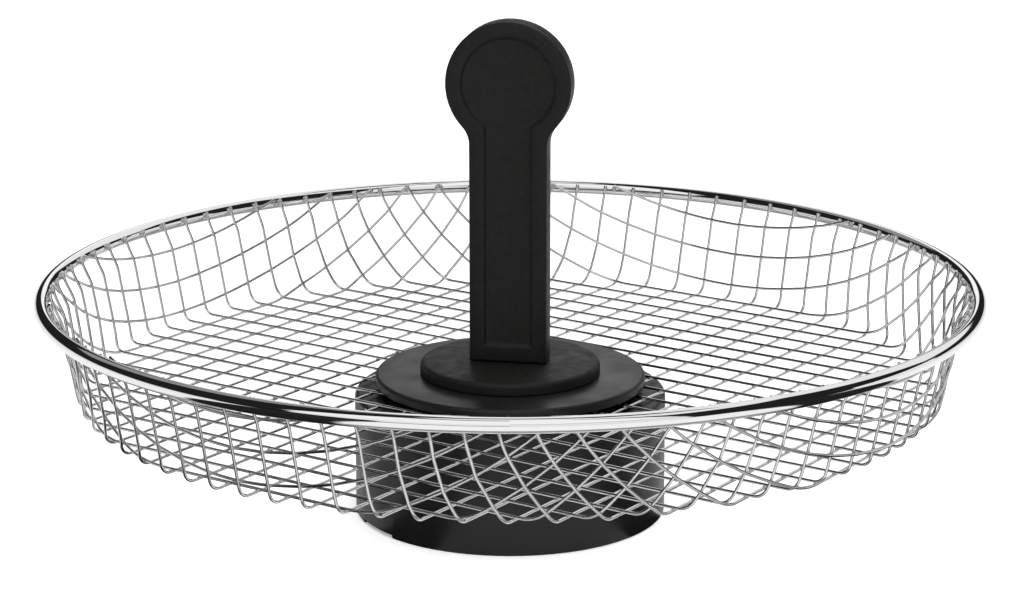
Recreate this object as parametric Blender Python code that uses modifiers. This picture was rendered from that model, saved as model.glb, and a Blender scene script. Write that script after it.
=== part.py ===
"""Snack basket insert for a deep fryer.

A shallow round dish of welded steel wire hangs from a thick wire rim.  Its floor is clamped between a
hollow plastic base drum and a round hub plate.  An upright keyhole-shaped handle stands in the centre
on a bayonet foot, which turns out of the hub to let the handle go.

Metres, +Z up.  The origin is the centre of the ring that the base drum stands on, and the handle's
front faces -Y.
"""
import bpy
import bmesh
import math
from mathutils import Matrix, Vector

# Driving dimensions, in metres and degrees
GAP = 0.0003                    # clearance between pieces that touch on the real object

RIM_RADIUS = 0.123              # centreline of the rim wire
RIM_WIRE_RADIUS = 0.002
RIM_HEIGHT = 0.0606

MESH_WIRE_RADIUS = 0.0004
MESH_PITCH = 0.00895
MESH_SPLIT = 0.00055            # each family of wires lies this far from the sheet's middle
MESH_TURN = 65.4                # bearing of the outer family's normal, from -Y towards +X
OUTER_PHASE = 0.08              # where the first wire of each family lies, in pitches from the centre
INNER_PHASE = 0.96
WALL_TOP_RADIUS = 0.11965       # middle of the sheet at its trimmed edge
WALL_TOP_HEIGHT = 0.0621
FLOOR_CORNER_RADIUS = 0.11355   # where wall and floor would meet without their bend
FLOOR_HEIGHT = 0.0339
FLOOR_BEND_RADIUS = 0.0032
MESH_HOLE_RADIUS = 0.028
WIRE_TOLERANCE = 0.00016        # how far a wire's straight steps may leave its true curve

DRUM_RADIUS = 0.0415
DRUM_WALL = 0.0022
DRUM_TOP = 0.0326
TOP_PLATE = 0.0025
NOTCH_WIDTH = 0.015
NOTCH_DEPTH = 0.001
NOTCH_BEARING = -48.5

HUB_RADIUS = 0.036
HUB_THICKNESS = 0.0024
BAYONET_RADIUS = 0.015
LUG_RADIUS = 0.019
LUG_WIDTH = 0.011
LUG_THICKNESS = 0.0026
BAYONET_TWIST = 60.0            # degrees from locked to the slots
HUB_SCREW_CIRCLE = 0.0244
SCREW_RADIUS = 0.0013

FOOT_RADIUS = 0.024
FOOT_THICKNESS = 0.003
HEAD_HEIGHT = 0.1157
HEAD_RADIUS = 0.01665
STEM_HALF_WIDTH = 0.01035
NECK_FILLET = 0.007
HANDLE_THICKNESS = 0.008
PARTING_Y = -0.0014             # back of the front shell
SHELL_WALL = 0.0018
RECESS_DEPTH = 0.001
RECESS_HEAD_RADIUS = 0.0124
RECESS_HALF_WIDTH = 0.006
RECESS_BOTTOM = 0.005           # above the stem's lower end
BOSS_RADIUS = 0.0026
SCREW_SINK = 0.0009             # depth of the sunk seats in the back

# Heights that follow from them
DRUM_CEILING = DRUM_TOP - TOP_PLATE
HUB_UNDERSIDE = FLOOR_HEIGHT + MESH_SPLIT + MESH_WIRE_RADIUS + GAP
HUB_TOP = HUB_UNDERSIDE + HUB_THICKNESS
FOOT_BOTTOM = HUB_TOP + GAP
FOOT_TOP = FOOT_BOTTOM + FOOT_THICKNESS
STEM_BOTTOM = FOOT_TOP + GAP
LUG_TOP = DRUM_CEILING - GAP
LUG_BOTTOM = LUG_TOP - LUG_THICKNESS
FRONT_Y = -HANDLE_THICKNESS / 2
BACK_Y = HANDLE_THICKNESS / 2
HANDLE_SCREW_HEIGHTS = (STEM_BOTTOM + 0.010, STEM_BOTTOM + 0.038, HEAD_HEIGHT)

for old in list(bpy.data.objects):
    bpy.data.objects.remove(old, do_unlink=True)

parts = bpy.data.collections.new("snack_basket")
cutters = bpy.data.collections.new("cutters")
bpy.context.scene.collection.children.link(parts)
bpy.context.scene.collection.children.link(cutters)


def material(name, colour, roughness, metallic=0.0):
    made = bpy.data.materials.new(name)
    made.use_nodes = True
    shader = made.node_tree.nodes["Principled BSDF"]
    shader.inputs["Base Color"].default_value = (*colour, 1.0)
    shader.inputs["Roughness"].default_value = roughness
    shader.inputs["Metallic"].default_value = metallic
    return made


CHROME = material("chrome_plate", (0.78, 0.78, 0.80), 0.08, 1.0)
BRIGHT_WIRE = material("bright_steel_wire", (0.70, 0.70, 0.70), 0.18, 1.0)
BASE_PLASTIC = material("black_base_plastic", (0.020, 0.020, 0.021), 0.45)
HANDLE_PLASTIC = material("charcoal_handle_plastic", (0.030, 0.030, 0.031), 0.60)
SCREW_STEEL = material("screw_steel", (0.60, 0.60, 0.58), 0.30, 1.0)


def add_part(name, mesh, finish):
    """Puts a finished mesh in the parts collection as the named piece."""
    piece = bpy.data.objects.new(name, mesh)
    mesh.materials.clear()
    mesh.materials.append(finish)
    parts.objects.link(piece)
    return piece


def add_cutter(name, mesh):
    cutter = bpy.data.objects.new(name, mesh)
    cutter.hide_render = True
    cutter.display_type = 'WIRE'
    cutters.objects.link(cutter)
    return cutter


def join_with(piece, tool, operation):
    """Unites a piece with a tool object, or cuts the tool out of it."""
    boolean = piece.modifiers.new(f"{operation.lower()}_{tool.name}", 'BOOLEAN')
    boolean.operation = operation
    boolean.solver = 'EXACT'
    boolean.object = tool


def block_mesh(name, low, high):
    """A box between two corners, as a mesh."""
    low, high = Vector(low), Vector(high)
    bm = bmesh.new()
    bmesh.ops.create_cube(bm, size=1.0)
    size = high - low
    bmesh.ops.transform(bm, verts=bm.verts,
                        matrix=Matrix.Translation((low + high) / 2) @ Matrix.Diagonal((*size, 1.0)))
    mesh = bpy.data.meshes.new(name)
    bm.to_mesh(mesh)
    bm.free()
    return mesh


def rod_mesh(name, radius, start, end, sides=12):
    """A round rod from start to end, as a mesh."""
    start, end = Vector(start), Vector(end)
    bm = bmesh.new()
    bmesh.ops.create_cone(bm, cap_ends=True, segments=sides, radius1=radius, radius2=radius,
                          depth=(end - start).length)
    turn = (end - start).to_track_quat('Z', 'Y').to_matrix().to_4x4()
    bmesh.ops.transform(bm, verts=bm.verts, matrix=Matrix.Translation((start + end) / 2) @ turn)
    mesh = bpy.data.meshes.new(name)
    bm.to_mesh(mesh)
    bm.free()
    return mesh


def turned_object(name, profile, steps, finish, closed):
    """Turns (radius, height) points about Z.  The outer side runs from top to bottom."""
    bm = bmesh.new()
    points = [bm.verts.new((radius, 0.0, height)) for radius, height in profile]
    for first, second in zip(points, points[1:]):
        bm.edges.new((first, second))
    if closed:
        bm.edges.new((points[-1], points[0]))
    mesh = bpy.data.meshes.new(name)
    bm.to_mesh(mesh)
    bm.free()
    piece = add_part(name, mesh, finish)
    screw = piece.modifiers.new("turn", 'SCREW')
    screw.steps = steps
    screw.render_steps = steps
    screw.use_merge_vertices = True
    screw.merge_threshold = 0.00001
    screw.use_smooth_shade = False
    return piece


# ---------------------------------------------------------------- the wire dish

def sheet_profile(distance):
    """Radius and height of the sheet's middle at a distance from the centre, along the sheet."""
    lean = math.atan2(WALL_TOP_RADIUS - FLOOR_CORNER_RADIUS, WALL_TOP_HEIGHT - FLOOR_HEIGHT)
    bend = math.pi / 2 - lean
    flat = FLOOR_CORNER_RADIUS - FLOOR_BEND_RADIUS * math.tan(bend / 2)
    if distance <= flat:
        return distance, FLOOR_HEIGHT
    angle = min((distance - flat) / FLOOR_BEND_RADIUS, bend)
    radius = flat + FLOOR_BEND_RADIUS * math.sin(angle)
    height = FLOOR_HEIGHT + FLOOR_BEND_RADIUS * (1 - math.cos(angle))
    climb = max(distance - flat - FLOOR_BEND_RADIUS * bend, 0.0)
    return radius + climb * math.sin(lean), height + climb * math.cos(lean)


def sheet_point(distance, bearing, offset=0.0):
    """A point of the sheet, moved outwards and down by offset, square to the sheet."""
    step = 0.00005
    radius, height = sheet_profile(distance)
    radius_on, height_on = sheet_profile(distance + step)
    run, rise = (radius_on - radius) / step, (height_on - height) / step
    radius += offset * rise
    height -= offset * run
    return Vector((radius * math.cos(bearing), radius * math.sin(bearing), height))


def trimmed_length():
    """Distance along the sheet from the centre to its trimmed edge."""
    low, high = FLOOR_CORNER_RADIUS, FLOOR_CORNER_RADIUS + 2 * WALL_TOP_HEIGHT
    while high - low > 1e-7:
        middle = (low + high) / 2
        if sheet_profile(middle)[1] < WALL_TOP_HEIGHT:
            low = middle
        else:
            high = middle
    return low


NET_STEP = MESH_PITCH / 4
NET_SIZE = 66
SHEET_EDGE = trimmed_length()


def pressed_net():
    """How a flat net of welded wires lies once it is pressed into the dish.

    Every cell keeps the length of its sides and only shears, so each knot lies one step from the two
    knots before it.  One quarter is worked out, as (distance, bearing) for each knot.
    """
    net = [[None] * (NET_SIZE + 1) for _ in range(NET_SIZE + 1)]
    for i in range(NET_SIZE + 1):
        net[i][0] = (i * NET_STEP, 0.0)
        net[0][i] = (i * NET_STEP, math.pi / 2)
    for i in range(1, NET_SIZE + 1):
        for j in range(1, NET_SIZE + 1):
            before, beside, corner = net[i - 1][j], net[i][j - 1], net[i - 1][j - 1]
            if before is None or beside is None:
                continue
            first, second = sheet_point(*before), sheet_point(*beside)
            distance = before[0] + beside[0] - corner[0]
            bearing = before[1] + beside[1] - corner[1]
            if i == 1 or j == 1:
                distance, bearing = math.hypot(i, j) * NET_STEP, math.atan2(j, i)
            for _ in range(8):
                here = sheet_point(distance, bearing)
                miss_1 = (here - first).length - NET_STEP
                miss_2 = (here - second).length - NET_STEP
                nudge = 1e-6
                out = sheet_point(distance + nudge, bearing)
                turn = sheet_point(distance, bearing + nudge * 10)
                a = ((out - first).length - NET_STEP - miss_1) / nudge
                b = ((turn - first).length - NET_STEP - miss_1) / (nudge * 10)
                c = ((out - second).length - NET_STEP - miss_2) / nudge
                d = ((turn - second).length - NET_STEP - miss_2) / (nudge * 10)
                spread = a * d - b * c
                if abs(spread) < 1e-12:
                    break
                distance -= (miss_1 * d - miss_2 * b) / spread
                bearing -= (a * miss_2 - c * miss_1) / spread
            if distance < SHEET_EDGE + 4 * NET_STEP:
                net[i][j] = (distance, bearing)
    return net


NET = pressed_net()


def knot(across, along):
    """(distance, bearing) of the flat net's point (across, along), or None off the sheet."""
    i, j = abs(across) / NET_STEP, abs(along) / NET_STEP
    i0, j0 = int(i), int(j)
    if i0 >= NET_SIZE or j0 >= NET_SIZE:
        return None
    corners = (NET[i0][j0], NET[i0 + 1][j0], NET[i0][j0 + 1], NET[i0 + 1][j0 + 1])
    if None in corners:
        return None
    s, t = i - i0, j - j0
    if i0 == 0 and j0 == 0:
        return math.hypot(across, along), math.atan2(along, across)
    weights = ((1 - s) * (1 - t), s * (1 - t), (1 - s) * t, s * t)
    distance = sum(weight * corner[0] for weight, corner in zip(weights, corners))
    bearing = sum(weight * corner[1] for weight, corner in zip(weights, corners))
    if across < 0:
        bearing = math.pi - bearing
    if along < 0:
        bearing = -bearing
    return distance, bearing


def thin_out(points, tolerance):
    """Drops the points that lie within the tolerance of a straight run."""
    if len(points) < 3:
        return points
    run = points[-1] - points[0]
    far, index = 0.0, 0
    for i, point in enumerate(points[1:-1], 1):
        gap = (point - points[0]).cross(run).length / max(run.length, 1e-9)
        if gap > far:
            far, index = gap, i
    if far <= tolerance:
        return [points[0], points[-1]]
    return thin_out(points[:index + 1], tolerance)[:-1] + thin_out(points[index:], tolerance)


def wire_runs(shift, outer):
    """The runs of one wire at a sideways shift from the centre, cut at the rim and at the hub hole."""
    base_turn = math.radians(MESH_TURN - 90.0)
    offset = MESH_SPLIT if outer else -MESH_SPLIT
    samples = 560
    span = NET_SIZE * NET_STEP
    runs, run = [], []
    for n in range(samples + 1):
        along = -span + 2 * span * n / samples
        across, up = (shift, along) if outer else (along, shift)
        place = knot(across, up)
        if place and MESH_HOLE_RADIUS < place[0] <= SHEET_EDGE:
            run.append(sheet_point(place[0], place[1] + base_turn, offset))
        elif run:
            runs.append(run)
            run = []
    if run:
        runs.append(run)
    shortest = 0.02
    return [thin_out(points, WIRE_TOLERANCE) for points in runs if (points[0] - points[-1]).length > shortest]


def rim_tie(start, end):
    """Points of a short tie that follows the inside of the rim from one wire's end to the next."""
    first, last = math.atan2(start.y, start.x), math.atan2(end.y, end.x)
    sweep = (last - first + math.pi) % (2 * math.pi) - math.pi
    steps = max(1, math.ceil(abs(sweep) / math.radians(7.0)))
    points = []
    for n in range(1, steps):
        share = n / steps
        bearing = first + sweep * share
        radius = math.hypot(start.x, start.y)
        height = start.z + (end.z - start.z) * share
        points.append(Vector((radius * math.cos(bearing), radius * math.sin(bearing), height)))
    return points


def tied(first, second):
    """Two runs as one path, tied at the end of the first and the start of the second."""
    return first + rim_tie(first[-1], second[0]) + second


def wire_paths(one, other):
    """Closes the runs of two neighbouring wires into as few unbroken paths as they need."""
    if not other:
        return one
    if len(one) == 1 and len(other) == 1:
        return [tied(one[0], other[0][::-1])]
    if len(one) == 2 and len(other) == 2:
        return [tied(one[0][::-1], other[0]), tied(one[1], other[1][::-1])]
    whole, cut = (one, other) if len(one) == 1 else (other, one)
    return [tied(tied(cut[0][::-1], whole[0]), cut[1][::-1])]


def wire_object(name, points):
    """One path of wire, as a curve of square section with closed ends."""
    curve = bpy.data.curves.new(name, 'CURVE')
    curve.dimensions = '3D'
    curve.bevel_depth = MESH_WIRE_RADIUS
    curve.bevel_resolution = 0
    curve.use_fill_caps = True
    spline = curve.splines.new('POLY')
    spline.points.add(len(points) - 1)
    for point, place in zip(spline.points, points):
        point.co = (*place, 1.0)
    piece = bpy.data.objects.new(name, curve)
    curve.materials.append(BRIGHT_WIRE)
    parts.objects.link(piece)
    return piece


def mesh_wires():
    """Both families of wires, two neighbours to a node, tied where the rim hides their ends."""
    count = int(SHEET_EDGE / MESH_PITCH) + 1
    for family, outer, phase in (("outer", True, OUTER_PHASE), ("inner", False, INNER_PHASE)):
        wires = [wire_runs((n + phase) * MESH_PITCH, outer) for n in range(-count, count + 1)]
        wires = [runs for runs in wires if runs]
        number = 0
        for one, other in zip(wires[::2], wires[1::2] + [[]] * (len(wires) % 2)):
            for points in wire_paths(one, other):
                number += 1
                wire_object(f"{family}_mesh_wires_{number:02d}", points)


def rim_ring():
    bpy.ops.mesh.primitive_torus_add(major_radius=RIM_RADIUS, minor_radius=RIM_WIRE_RADIUS,
                                     major_segments=72, minor_segments=6,
                                     location=(0.0, 0.0, RIM_HEIGHT))
    ring = bpy.context.object
    ring.name = "rim_ring"
    ring.data.materials.append(CHROME)
    ring.data.shade_smooth()
    for owner in list(ring.users_collection):
        owner.objects.unlink(ring)
    parts.objects.link(ring)


# ---------------------------------------------------------------- base drum and hub

def slot_mesh(name, radius, width, low, high, bearing):
    """A slot cutter: a block across the centre, as long as the lugs with their play."""
    mesh = block_mesh(name, (-radius, -width / 2, low), (radius, width / 2, high))
    mesh.transform(Matrix.Rotation(math.radians(bearing), 4, 'Z'))
    return mesh


def hub_screw_places():
    bearings = [math.radians(45.0 + 90.0 * n) for n in range(4)]
    return [Vector((math.cos(b), math.sin(b), 0.0)) * HUB_SCREW_CIRCLE for b in bearings]


def base_drum():
    """Hollow skirt with a top plate, a collar round the bayonet and ribs between the two."""
    edge = 0.0006
    collar_in, collar_out, collar_low = LUG_RADIUS + 0.0008, LUG_RADIUS + 0.0022, DRUM_CEILING - 0.0061
    hole = BAYONET_RADIUS + 0.0004
    inside = DRUM_RADIUS - DRUM_WALL
    profile = [(hole, DRUM_TOP), (DRUM_RADIUS - edge, DRUM_TOP), (DRUM_RADIUS, DRUM_TOP - edge),
               (DRUM_RADIUS, edge / 2), (DRUM_RADIUS - edge / 2, 0.0), (inside, 0.0),
               (inside, DRUM_CEILING), (collar_out, DRUM_CEILING), (collar_out, collar_low),
               (collar_in, collar_low), (collar_in, DRUM_CEILING), (hole, DRUM_CEILING)]
    drum = turned_object("base_drum", profile, 40, BASE_PLASTIC, closed=True)

    rib = 0.0016
    for n in range(3):
        bearing = math.radians(60.0 * n)
        for side in (1, -1):
            start, end = collar_out - 0.0004, inside + 0.0004
            mesh = block_mesh("rib", (start, -rib / 2, 0.020), (end, rib / 2, DRUM_CEILING + 0.0004))
            mesh.transform(Matrix.Rotation(bearing + (math.pi if side < 0 else 0.0), 4, 'Z'))
            join_with(drum, add_cutter(f"drum_rib_{n}_{side}", mesh), 'UNION')

    slot = slot_mesh("bayonet_slot", LUG_RADIUS + 0.0004, LUG_WIDTH + 0.001,
                       DRUM_CEILING - 0.001, DRUM_TOP + 0.001, BAYONET_TWIST)
    join_with(drum, add_cutter("drum_bayonet_slot", slot), 'DIFFERENCE')

    # The lugs stop against these short walls, locked at one end and under the slots at the other.
    stop_in, stop_out, stop_side, stop_wall = 0.0146, 0.0196, LUG_WIDTH / 2 + GAP, 0.0012
    for twist, side in ((0.0, -1), (BAYONET_TWIST, 1)):
        for half in (0.0, 180.0):
            near, far = sorted((side * stop_side, side * (stop_side + stop_wall)))
            stop = block_mesh("stop", (stop_in, near, LUG_BOTTOM), (stop_out, far, DRUM_CEILING + 0.0004))
            stop.transform(Matrix.Rotation(math.radians(twist + half), 4, 'Z'))
            join_with(drum, add_cutter(f"drum_stop_{twist:.0f}_{half:.0f}", stop), 'UNION')

    notch = block_mesh("notch", (-DRUM_RADIUS - 0.002, -NOTCH_WIDTH / 2, -0.001),
                       (DRUM_RADIUS + 0.002, NOTCH_WIDTH / 2, NOTCH_DEPTH))
    notch.transform(Matrix.Rotation(math.radians(NOTCH_BEARING - 90.0), 4, 'Z'))
    join_with(drum, add_cutter("drum_edge_notch", notch), 'DIFFERENCE')

    for n, place in enumerate(hub_screw_places()):
        hole_mesh = rod_mesh("hole", SCREW_RADIUS + 0.0004, place + Vector((0, 0, DRUM_CEILING - 0.001)),
                             place + Vector((0, 0, DRUM_TOP + 0.001)))
        join_with(drum, add_cutter(f"drum_screw_hole_{n}", hole_mesh), 'DIFFERENCE')


def hub_plate():
    """Round plate over the mesh, with a boss that fills the mesh's hole and stands on the drum."""
    hole = BAYONET_RADIUS + 0.0004
    boss = MESH_HOLE_RADIUS - 0.0006
    edge = 0.0008
    profile = [(hole, HUB_TOP), (HUB_RADIUS - edge, HUB_TOP), (HUB_RADIUS, HUB_TOP - edge),
               (HUB_RADIUS, HUB_UNDERSIDE), (boss, HUB_UNDERSIDE), (boss, DRUM_TOP + GAP),
               (hole, DRUM_TOP + GAP)]
    plate = turned_object("hub_plate", profile, 36, BASE_PLASTIC, closed=True)
    slot = slot_mesh("hub_slot", LUG_RADIUS + 0.0004, LUG_WIDTH + 0.001,
                       DRUM_TOP - 0.001, HUB_TOP + 0.001, BAYONET_TWIST)
    join_with(plate, add_cutter("hub_bayonet_slot", slot), 'DIFFERENCE')
    for n, place in enumerate(hub_screw_places()):
        pilot = rod_mesh("pilot", SCREW_RADIUS + GAP, place + Vector((0, 0, DRUM_TOP - 0.001)),
                         place + Vector((0, 0, HUB_TOP - 0.0008)))
        join_with(plate, add_cutter(f"hub_pilot_{n}", pilot), 'DIFFERENCE')


def screw_object(name, head_end, tip_end, head_height):
    """One pan-head screw, its head at head_end and its tip at tip_end."""
    head_end, tip_end = Vector(head_end), Vector(tip_end)
    length = (tip_end - head_end).length
    head = SCREW_RADIUS * 2.1
    profile = [(0.0, length), (SCREW_RADIUS * 0.6, length), (SCREW_RADIUS, length - 0.0008),
               (SCREW_RADIUS, head_height), (head, head_height), (head, head_height * 0.35),
               (head * 0.8, 0.0), (0.0, 0.0)]
    screw = turned_object(name, profile, 8, SCREW_STEEL, closed=False)
    screw.location = head_end
    screw.rotation_euler = (tip_end - head_end).to_track_quat('Z', 'Y').to_euler()
    return screw


def hub_screws():
    head = 0.0018
    low = DRUM_CEILING - GAP - head
    for n, place in enumerate(hub_screw_places(), 1):
        screw_object(f"hub_screw_{n}", place + Vector((0, 0, low)),
                     place + Vector((0, 0, HUB_TOP - 0.0014)), head)


# ---------------------------------------------------------------- handle

def keyhole(head_radius, half_width, bottom, fillet):
    """Outline of a round head on a straight stem, as (x, z) points, anticlockwise from the bottom right."""
    drop = math.sqrt((head_radius + fillet) ** 2 - (half_width + fillet) ** 2)
    centre = Vector((half_width + fillet, HEAD_HEIGHT - drop))
    meet = math.atan2(-drop, half_width + fillet)
    points = [(half_width, bottom)]
    turns = 5
    for n in range(turns + 1):
        angle = math.pi + meet * n / turns
        points.append((centre.x + fillet * math.cos(angle), centre.y + fillet * math.sin(angle)))
    arcs = 24
    for n in range(1, arcs + 1):
        angle = meet + (math.pi - 2 * meet) * n / arcs
        points.append((head_radius * math.cos(angle), HEAD_HEIGHT + head_radius * math.sin(angle)))
    left = [(-x, z) for x, z in reversed(points[:turns + 1])]
    return points + left


def plate_object(name, outline, front, back, finish, as_cutter=False):
    """A flat outline in the XZ plane, from y = front to y = back."""
    curve = bpy.data.curves.new(name, 'CURVE')
    curve.dimensions = '2D'
    curve.fill_mode = 'BOTH'
    curve.extrude = (back - front) / 2
    spline = curve.splines.new('POLY')
    spline.points.add(len(outline) - 1)
    for point, (x, z) in zip(spline.points, outline):
        point.co = (x, z, 0.0, 1.0)
    spline.use_cyclic_u = True
    shape = bpy.data.objects.new(name + "_outline", curve)
    parts.objects.link(shape)
    shape.matrix_world = (Matrix.Translation((0.0, (front + back) / 2, 0.0))
                          @ Matrix.Rotation(math.pi / 2, 4, 'X'))
    bpy.context.view_layer.update()
    evaluated = shape.evaluated_get(bpy.context.evaluated_depsgraph_get())
    mesh = bpy.data.meshes.new_from_object(evaluated)
    mesh.transform(shape.matrix_world)
    bpy.data.objects.remove(shape, do_unlink=True)
    bm = bmesh.new()
    bm.from_mesh(mesh)
    bmesh.ops.remove_doubles(bm, verts=bm.verts, dist=0.00001)
    bmesh.ops.recalc_face_normals(bm, faces=bm.faces)
    bm.to_mesh(mesh)
    bm.free()
    return add_cutter(name, mesh) if as_cutter else add_part(name, mesh, finish)


def round_outer_edge(piece, y, width, segments=2):
    """Rounds the outline edge that lies in the plane at y."""
    bm = bmesh.new()
    bm.from_mesh(piece.data)
    edges = [edge for edge in bm.edges
             if all(abs(vert.co.y - y) < 1e-6 for vert in edge.verts)
             and any(abs(face.normal.y) < 0.5 for face in edge.link_faces)]
    bmesh.ops.bevel(bm, geom=edges, offset=width, segments=segments, profile=0.5, affect='EDGES',
                    material=-1)
    bm.to_mesh(piece.data)
    bm.free()


def handle_front_shell():
    """Front cover with a sunk keyhole panel and three screw bosses behind it."""
    outline = keyhole(HEAD_RADIUS, STEM_HALF_WIDTH, STEM_BOTTOM, NECK_FILLET)
    shell = plate_object("handle_front_shell", outline, FRONT_Y, PARTING_Y, HANDLE_PLASTIC)
    round_outer_edge(shell, FRONT_Y, 0.0008)
    sunk = keyhole(RECESS_HEAD_RADIUS, RECESS_HALF_WIDTH, STEM_BOTTOM + RECESS_BOTTOM, 0.0006)
    recess = plate_object("front_recess", sunk, FRONT_Y - 0.001, FRONT_Y + RECESS_DEPTH, None, True)
    join_with(shell, recess, 'DIFFERENCE')
    for n, height in enumerate(HANDLE_SCREW_HEIGHTS):
        boss = rod_mesh("boss", BOSS_RADIUS, (0, PARTING_Y - 0.0004, height), (0, 0.0017, height))
        join_with(shell, add_cutter(f"front_boss_{n}", boss), 'UNION')
    for n, height in enumerate(HANDLE_SCREW_HEIGHTS):
        pilot = rod_mesh("pilot", SCREW_RADIUS + GAP, (0, PARTING_Y - 0.0006, height), (0, 0.003, height))
        join_with(shell, add_cutter(f"front_pilot_{n}", pilot), 'DIFFERENCE')


def handle_rear_shell():
    """Rear half: a tray that is open to the front and at its lower end, with sunk screw holes."""
    outline = keyhole(HEAD_RADIUS, STEM_HALF_WIDTH, STEM_BOTTOM, NECK_FILLET)
    shell = plate_object("handle_rear_shell", outline, PARTING_Y + GAP, BACK_Y, HANDLE_PLASTIC)
    round_outer_edge(shell, BACK_Y, 0.0014)
    hollow = keyhole(HEAD_RADIUS - SHELL_WALL, STEM_HALF_WIDTH - SHELL_WALL, STEM_BOTTOM - 0.002,
                     NECK_FILLET + SHELL_WALL)
    pocket = plate_object("rear_pocket", hollow, PARTING_Y - 0.001, BACK_Y - SHELL_WALL, None, True)
    join_with(shell, pocket, 'DIFFERENCE')
    for n, height in enumerate(HANDLE_SCREW_HEIGHTS):
        hole = rod_mesh("hole", SCREW_RADIUS + 0.0004, (0, 0.001, height), (0, BACK_Y + 0.001, height))
        join_with(shell, add_cutter(f"rear_hole_{n}", hole), 'DIFFERENCE')
        sink = rod_mesh("sink", SCREW_RADIUS * 2.1 + 0.0004, (0, BACK_Y - SCREW_SINK, height),
                        (0, BACK_Y + 0.001, height), 16)
        join_with(shell, add_cutter(f"rear_sink_{n}", sink), 'DIFFERENCE')


def handle_screws():
    head = 0.0011
    start = BACK_Y - SCREW_SINK + GAP + head
    for n, height in enumerate(HANDLE_SCREW_HEIGHTS, 1):
        screw_object(f"handle_screw_{n}", (0, start, height), (0, PARTING_Y + GAP, height), head)


def handle_foot():
    """Flange on the hub plate, a hollow bayonet spigot under it and a tongue up inside the stem."""
    inner = BAYONET_RADIUS - 0.0022
    edge = 0.001
    profile = [(0.0, FOOT_TOP), (FOOT_RADIUS - edge, FOOT_TOP), (FOOT_RADIUS, FOOT_TOP - edge),
               (FOOT_RADIUS, FOOT_BOTTOM), (BAYONET_RADIUS, FOOT_BOTTOM), (BAYONET_RADIUS, LUG_BOTTOM),
               (inner, LUG_BOTTOM), (inner, FOOT_BOTTOM), (0.0, FOOT_BOTTOM)]
    foot = turned_object("handle_foot", profile, 32, HANDLE_PLASTIC, closed=False)
    for side in (1, -1):
        lug = block_mesh("lug", (inner + 0.0006, -LUG_WIDTH / 2, LUG_BOTTOM),
                         (LUG_RADIUS - 0.0006, LUG_WIDTH / 2, LUG_TOP))
        lug.transform(Matrix.Rotation(0.0 if side > 0 else math.pi, 4, 'Z'))
        join_with(foot, add_cutter(f"foot_lug_{side}", lug), 'UNION')
    play = 0.0005
    tongue = block_mesh("tongue", (-STEM_HALF_WIDTH + SHELL_WALL + play, PARTING_Y + 0.0005,
                                   FOOT_TOP - 0.0006),
                        (STEM_HALF_WIDTH - SHELL_WALL - play, BACK_Y - SHELL_WALL - play,
                         STEM_BOTTOM + 0.018))
    join_with(foot, add_cutter("foot_tongue", tongue), 'UNION')
    hole = rod_mesh("hole", 0.003, (0, PARTING_Y - 0.001, HANDLE_SCREW_HEIGHTS[0]),
                    (0, BACK_Y, HANDLE_SCREW_HEIGHTS[0]))
    join_with(foot, add_cutter("foot_hole", hole), 'DIFFERENCE')


rim_ring()
mesh_wires()
base_drum()
hub_plate()
hub_screws()
handle_foot()
handle_front_shell()
handle_rear_shell()
handle_screws()
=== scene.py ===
"""Snack basket of a deep fryer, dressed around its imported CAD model.

A round dish of welded wire hangs from a chromed rim.  Its floor is held between a hollow black drum and
a hub plate, and a keyhole-shaped handle stands on the hub.  Metres, +Z up, front towards -Y.
"""
import math
import random

import bmesh
import bpy
from mathutils import Matrix, Vector


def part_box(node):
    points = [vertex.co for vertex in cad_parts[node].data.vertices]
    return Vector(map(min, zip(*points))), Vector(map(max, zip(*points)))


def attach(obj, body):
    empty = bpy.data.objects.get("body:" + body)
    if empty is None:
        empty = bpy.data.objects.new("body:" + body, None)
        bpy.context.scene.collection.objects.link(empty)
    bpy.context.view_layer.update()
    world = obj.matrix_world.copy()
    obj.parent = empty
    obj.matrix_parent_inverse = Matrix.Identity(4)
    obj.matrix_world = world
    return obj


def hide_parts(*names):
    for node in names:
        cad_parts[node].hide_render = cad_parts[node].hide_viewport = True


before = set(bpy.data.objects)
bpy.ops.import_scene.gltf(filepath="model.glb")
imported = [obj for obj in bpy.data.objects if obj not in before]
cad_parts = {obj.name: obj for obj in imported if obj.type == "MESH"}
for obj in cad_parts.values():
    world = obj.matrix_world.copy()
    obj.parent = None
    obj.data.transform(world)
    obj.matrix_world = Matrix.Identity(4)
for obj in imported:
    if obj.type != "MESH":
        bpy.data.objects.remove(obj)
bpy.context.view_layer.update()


# ------------------------------------------------------------------ rim ring
# One 4 mm steel wire rolled into a ring, its two ends butt-welded at the back and ground nearly flush,
# then plated with bright chrome.  The dish of thin wires is welded to its inner side.

rim_low, rim_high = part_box("rim_ring")
rim_wire_radius = 0.0020
rim_height = (rim_low.z + rim_high.z) / 2
rim_radius = rim_high.x - rim_wire_radius
rim_weld_bearing = math.radians(113.0)
rim_weld_swell = 0.00012        # how far the butt weld stands out from the wire
rim_weld_length = 0.0016
rim_steps, rim_sides = 320, 20


def new_finish(name, colour, roughness, metallic=0.0):
    """A material with its plain shader; the section adds the nodes."""
    finish = bpy.data.materials.new(name)
    finish.use_nodes = True
    tree = finish.node_tree
    shader = tree.nodes["Principled BSDF"]
    shader.inputs["Base Color"].default_value = (*colour, 1.0)
    shader.inputs["Roughness"].default_value = roughness
    shader.inputs["Metallic"].default_value = metallic
    return finish, tree, shader


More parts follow.
